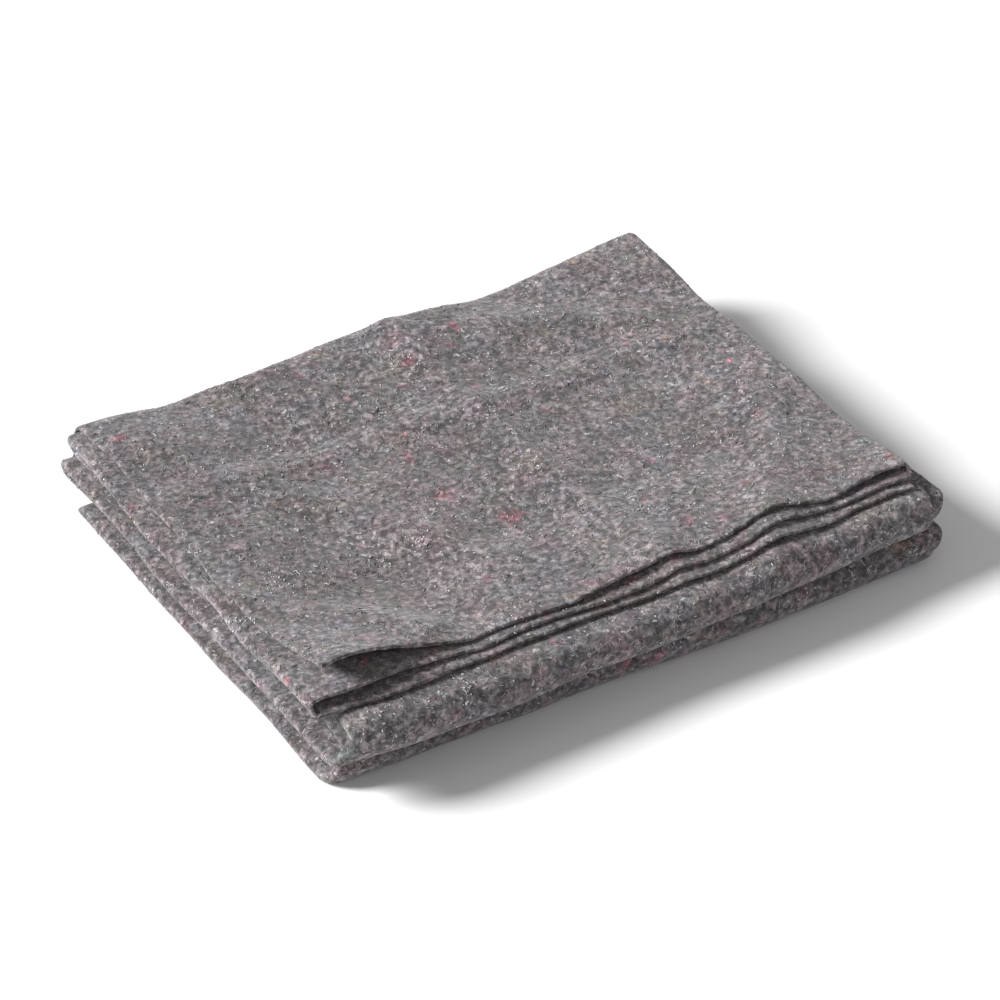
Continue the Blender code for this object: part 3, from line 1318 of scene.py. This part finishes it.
@dataclass
class OpenFace:
    """The part of the blanket's face that lies open to view, for loose fibres to lie on.

    Attributes:
        blanket: the blanket.
        clearance: how far from the face the next piece of cloth is, at least.
        start: how far off the face the line to it starts.
        under_slope: the normal's height below which a face is on the underside.
        under_height: how high over the floor the underside reaches.
        corners: the corners of each face.
        points: the mesh's points.
        centres: the faces' middles.
        normals: the faces' normals.
        weights: the area of each face that lies open, and 0 for the others.
        tree: the mesh, for finding the nearest place on it.
    """

    blanket: bpy.types.Object
    clearance: float = 0.12
    start: float = 0.0004
    under_slope: float = -0.35
    under_height: float = 0.006
    corners: list[tuple[int, ...]] = field(init=False, repr=False)
    points: Array = field(init=False, repr=False)
    centres: Array = field(init=False, repr=False)
    normals: Array = field(init=False, repr=False)
    weights: Array = field(init=False, repr=False)
    tree: BVHTree = field(init=False, repr=False)

    def __post_init__(self) -> None:
        """Finds the faces from which a line along the normal leaves the pad."""
        mesh = self.blanket.data
        self.corners = [tuple(face.vertices) for face in mesh.polygons]
        self.points = self.read(mesh.vertices, "co", 3)
        self.normals = self.read(mesh.polygons, "normal", 3)
        self.tree = BVHTree.FromPolygons(self.points.tolist(), self.corners)
        self.centres = self.read(mesh.polygons, "center", 3)
        low = self.centres[:, 2] < self.under_height
        underneath = (self.normals[:, 2] < self.under_slope) & low
        starts = self.centres + self.normals * self.start
        is_open = [
            not down and self.tree.ray_cast(Vector(start), Vector(normal), self.clearance)[0] is None
            for start, normal, down in zip(starts, self.normals, underneath)
        ]
        self.weights = np.where(is_open, self.read(mesh.polygons, "area", 1)[:, 0], 0.0)

    @staticmethod
    def read(items: bpy.types.bpy_prop_collection, name: str, width: int) -> Array:
        """A property of many items.

        Args:
            items: the items.
            name: the property's name.
            width: how many numbers it has.

        Returns:
            An array with a row for each item.
        """
        values = np.zeros(len(items) * width)
        items.foreach_get(name, values)
        return values.reshape(-1, width)

    def scatter(self, count: int, gather: float, draw: np.random.Generator) -> tuple[Array, Array]:
        """Random places on the open face.

        Args:
            count: how many.
            gather: how far they crowd together in some areas; 0 for an even spread.
            draw: the random numbers.

        Returns:
            The places, and the normals there.
        """
        crowd = SoftField(seed=int(draw.integers(1000)), shortest=0.02, longest=0.08)
        chances = self.weights * np.exp(gather * crowd.at(self.centres))
        chances /= chances.sum()
        chosen = draw.choice(len(chances), size=count, p=chances)
        corners = np.array([self.corners[face] for face in chosen])
        shares = draw.dirichlet((1.0, 1.0, 1.0, 1.0), size=count)
        return (self.points[corners] * shares[..., None]).sum(axis=1), self.normals[chosen]

    def nearest(self, places: Array) -> tuple[Array, Array]:
        """The nearest places on the blanket, and the normals there."""
        found = [self.tree.find_nearest(Vector(place)) for place in places]
        return np.array([hit[0] for hit in found]), np.array([hit[1] for hit in found])


@dataclass(frozen=True)
class FibreKind:
    """A kind of loose fibre or lump of lint.

    Attributes:
        name: its piece's name.
        count: how many there are.
        length: the shortest and longest, in metres.
        radius: the thinnest and thickest.
        curl: how much it turns from step to step, in radians.
        gather: how far the fibres crowd together in some areas.
        colours: the colours, drawn at random.
        arch: how far its middle stands off the felt.
        tip: its end's thickness, as a share of its middle's.
        free: how far its last end stands off the felt.
        steps: the steps along it.
    """

    name: str
    count: int
    length: tuple[float, float]
    radius: tuple[float, float]
    curl: float
    gather: float
    colours: tuple[Colour, ...]
    arch: float = 0.0004
    tip: float = 0.35
    free: float = 0.0
    steps: int = 4


@dataclass
class LooseFibres:
    """Lint and threads that lie on the felt, as joined strands.

    Attributes:
        face: the open part of the blanket.
        finish: the fibres' finish.
        kind: which fibres.
        seed: the seed of their random numbers.
        sides: the sides of a strand.
        stand_off: how far off the felt a strand's middle lies, at least.
        wobble: how much its turning varies from step to step, as a share of its curl.
        lowest: how far over the floor its points stay.
    """

    face: OpenFace
    finish: FibreFinish
    kind: FibreKind
    seed: int
    sides: int = 3
    stand_off: float = 0.00005
    wobble: float = 0.6
    lowest: float = 0.0001

    def routes(self, draw: np.random.Generator) -> tuple[Array, Array]:
        """Every fibre's points, stepped over the felt, with the normals there.

        Args:
            draw: the random numbers.

        Returns:
            The points and the normals, as fibres by points.
        """
        kind = self.kind
        places, normals = self.face.scatter(kind.count, kind.gather, draw)
        step = draw.uniform(*kind.length, size=(kind.count, 1)) / kind.steps
        ways = unit(np.cross(normals, draw.normal(size=(kind.count, 3))))
        bend = draw.normal(0.0, kind.curl, size=(kind.count, 1))
        arch = draw.uniform(0.3, 1.0, size=(kind.count, 1)) * kind.arch
        free = draw.uniform(0.2, 1.0, size=(kind.count, 1)) * kind.free
        points, ups = [], []
        for number in range(kind.steps + 1):
            share = number / kind.steps
            height = arch * math.sin(math.pi * share) + free * share**1.5 + self.stand_off
            points.append(places + normals * height)
            ups.append(normals)
            turn = bend + draw.normal(0.0, kind.curl * self.wobble, size=(kind.count, 1))
            ways = unit(ways - normals * (ways * normals).sum(axis=1, keepdims=True))
            ways = unit(ways * np.cos(turn) + np.cross(normals, ways) * np.sin(turn))
            places, normals = self.face.nearest(places + ways * step)
        return np.stack(points, axis=1), np.stack(ups, axis=1)

    def strands(self, draw: np.random.Generator) -> Array:
        """The rings of points round every fibre.

        Args:
            draw: the random numbers.

        Returns:
            The points, as fibres by rings by sides.
        """
        lines, ups = self.routes(draw)
        count, rings = lines.shape[:2]
        along = unit(np.gradient(lines, axis=1))
        across = unit(np.cross(along, ups))
        lift = np.cross(across, along)
        bulge = np.sin(np.pi * (np.arange(rings) + 0.5) / rings)
        taper = self.kind.tip + (1.0 - self.kind.tip) * bulge
        radius = draw.uniform(*self.kind.radius, size=(count, 1)) * taper[None, :]
        corners = []
        for corner in range(self.sides):
            angle = 2.0 * math.pi * corner / self.sides + math.pi / 6.0
            out = across * math.cos(angle) + lift * math.sin(angle)
            corners.append(lines + out * radius[..., None])
        points = np.stack(corners, axis=2)
        points[..., 2] = np.maximum(points[..., 2], self.lowest)
        return points

    def build(self) -> bpy.types.Object:
        """Makes the fibres as one joined mesh, each in one of the kind's colours.

        Returns:
            The object.
        """
        draw = np.random.default_rng(self.seed)
        points = self.strands(draw)
        count, rings, sides, _ = points.shape
        corner = np.arange(sides)
        after = np.roll(corner, -1)
        low = np.arange(rings - 1)[:, None] * sides
        faces = np.stack((low + corner, low + after, low + sides + after, low + sides + corner), axis=2)
        caps = np.stack((corner[::-1], corner + (rings - 1) * sides))
        starts = np.arange(count)[:, None, None] * rings * sides
        walls = (faces.reshape(1, -1, 4) + starts).reshape(-1, 4)
        ends = (caps[None] + starts).reshape(-1, sides)
        made = mesh_object(self.kind.name, points.reshape(-1, 3), [*walls.tolist(), *ends.tolist()])
        colours = np.array(self.kind.colours)[draw.integers(len(self.kind.colours), size=count)]
        colours = colours * draw.uniform(0.75, 1.2, size=(count, 1))
        tint = made.data.attributes.new("tint", "FLOAT_COLOR", "POINT")
        each = np.repeat(np.column_stack((colours, np.ones(count))), rings * sides, axis=0)
        tint.data.foreach_set("color", each.astype(np.float32).ravel())
        made.data.shade_smooth()
        made.data.materials.append(self.finish.material())
        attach(made, BODY)
        return made


@dataclass
class Studio:
    """The pale floor, the soft lights and the camera.

    Attributes:
        azimuth: the camera's way round the pad, in degrees, as the photograph's.
        elevation: its height over the horizon, in degrees.
        lens: its focal length, in millimetres.
        distance: how far it stands from the pad's middle, in metres.
        aim: where the camera and the lights point.
        floor_size: the round floor's width.
        floor_colour: its colour.
        key_place: where the key light shines from.
        key_spread: how wide it looks from the pad, in degrees.
        key_strength: how strong it is, in watts to the square metre.
        fill_place: where the fill light hangs.
        fill_size: its side, in metres.
        fill_power: its power, in watts.
        room_strength: how strong the light from all round is.
    """

    azimuth: float = -32.0
    elevation: float = 36.0
    lens: float = 136.0
    distance: float = 2.75
    aim: tuple[float, float, float] = (0.0, 0.0, 0.030)
    floor_size: float = 24.0
    floor_colour: Colour = (0.83, 0.83, 0.835)
    key_place: tuple[float, float, float] = (-1.82, 1.00, 1.36)
    key_spread: float = 22.0
    key_strength: float = 6.3
    fill_place: tuple[float, float, float] = (0.9, -2.4, 1.5)
    fill_size: float = 1.8
    fill_power: float = 14.0
    room_strength: float = 0.31

    def floor(self) -> None:
        """Lays the flat, round floor."""
        turns = np.linspace(0.0, 2.0 * math.pi, 96, endpoint=False)
        rim = np.stack((np.cos(turns), np.sin(turns), np.zeros(96)), axis=1) * self.floor_size / 2.0
        sweep = mesh_object("floor", rim - (0.0, 0.0, 0.0002), [tuple(range(96))])
        graph = Graph("pale_floor")
        mottle = graph.noise(graph.place(), 3.0, 2.0)
        shade = graph.ranged(mottle.outputs["Fac"], 0.3, 0.7, 0.985, 1.0)
        graph.put(graph.shader.inputs["Base Color"], graph.vector("SCALE", self.floor_colour, shade))
        graph.shader.inputs["Roughness"].default_value = 0.8
        graph.shader.inputs["Specular IOR Level"].default_value = 0.2
        sweep.data.materials.append(graph.material)

    def hang(self, light: bpy.types.Light, place: tuple[float, float, float]) -> None:
        """Hangs a light, turned to the pad.

        Args:
            light: the light.
            place: where it hangs.
        """
        lamp = bpy.data.objects.new(light.name, light)
        lamp.location = place
        lamp.rotation_euler = (Vector(self.aim) - Vector(place)).to_track_quat("-Z", "Y").to_euler()
        bpy.context.scene.collection.objects.link(lamp)

    def lights(self) -> None:
        """Hangs the lights and sets the soft light all round."""
        key = bpy.data.lights.new("key", "SUN")
        key.angle = math.radians(self.key_spread)
        key.energy = self.key_strength
        self.hang(key, self.key_place)
        fill = bpy.data.lights.new("front_fill", "AREA")
        fill.size = self.fill_size
        fill.energy = self.fill_power
        self.hang(fill, self.fill_place)
        world = bpy.data.worlds.new("soft_room")
        world.use_nodes = True
        ground = world.node_tree.nodes["Background"]
        ground.inputs["Color"].default_value = (1.0, 1.0, 1.0, 1.0)
        ground.inputs["Strength"].default_value = self.room_strength
        bpy.context.scene.world = world
        bpy.context.scene.view_settings.view_transform = "Standard"

    def camera(self) -> None:
        """Stands the camera above the pad, at the photograph's way round it."""
        data = bpy.data.cameras.new("camera")
        data.lens = self.lens
        data.clip_end = 50.0
        made = bpy.data.objects.new("camera", data)
        a, e = math.radians(self.azimuth), math.radians(self.elevation)
        back = Vector((math.sin(a) * math.cos(e), -math.cos(a) * math.cos(e), math.sin(e)))
        made.location = Vector(self.aim) + back * self.distance
        made.rotation_euler = (-back).to_track_quat("-Z", "Y").to_euler()
        bpy.context.scene.collection.objects.link(made)
        bpy.context.scene.camera = made


PALE: tuple[Colour, ...] = ((0.50, 0.48, 0.49), (0.34, 0.32, 0.33), (0.55, 0.54, 0.55))
DARK: tuple[Colour, ...] = ((0.030, 0.028, 0.030), (0.050, 0.045, 0.048), (0.08, 0.07, 0.075))
GREY: tuple[Colour, ...] = ((0.16, 0.14, 0.15), (0.26, 0.24, 0.25), (0.10, 0.09, 0.095))
WOOL: tuple[Colour, ...] = (
    (0.26, 0.02, 0.05),
    (0.32, 0.08, 0.13),
    (0.26, 0.14, 0.06),
    (0.28, 0.03, 0.07),
    (0.07, 0.14, 0.12),
    (0.09, 0.09, 0.18),
)

LOOSE_FIBRES = (
    FibreKind(
        "lint_lumps", count=1500, length=(0.0009, 0.0028), radius=(0.00026, 0.00075),
        curl=0.5, gather=1.9, colours=PALE, arch=0.0002, tip=0.2, steps=3,
    ),
    FibreKind(
        "pale_threads", count=2400, length=(0.002, 0.006), radius=(0.00009, 0.00019),
        curl=0.55, gather=1.3, colours=PALE,
    ),
    FibreKind(
        "dark_threads", count=2200, length=(0.002, 0.007), radius=(0.00014, 0.00030),
        curl=0.45, gather=0.7, colours=DARK, arch=0.0003,
    ),
    FibreKind(
        "wool_threads", count=260, length=(0.002, 0.006), radius=(0.00012, 0.00026),
        curl=0.5, gather=0.6, colours=WOOL,
    ),
    FibreKind(
        "fuzz", count=5000, length=(0.002, 0.005), radius=(0.00005, 0.00009),
        curl=0.35, gather=0.3, colours=GREY, tip=0.4, free=0.0016, steps=3,
    ),
)


def main() -> None:
    """Builds the blanket, its loose fibres and the studio, in order."""
    logging.basicConfig(level=logging.INFO, format="%(name)s: %(message)s")
    studio = Studio()
    studio.floor()
    studio.lights()
    studio.camera()
    blanket = FeltSheet(FoldPlan(), FeltFinish()).build()
    log.info("felt sheet with %d faces", len(blanket.data.polygons))
    face = OpenFace(blanket)
    log.info("open face of %.3f square metres", float(face.weights.sum()))
    finish = FibreFinish()
    for seed, kind in enumerate(LOOSE_FIBRES):
        LooseFibres(face, finish, kind, seed=100 + seed).build()


if __name__ == "__main__":
    main()
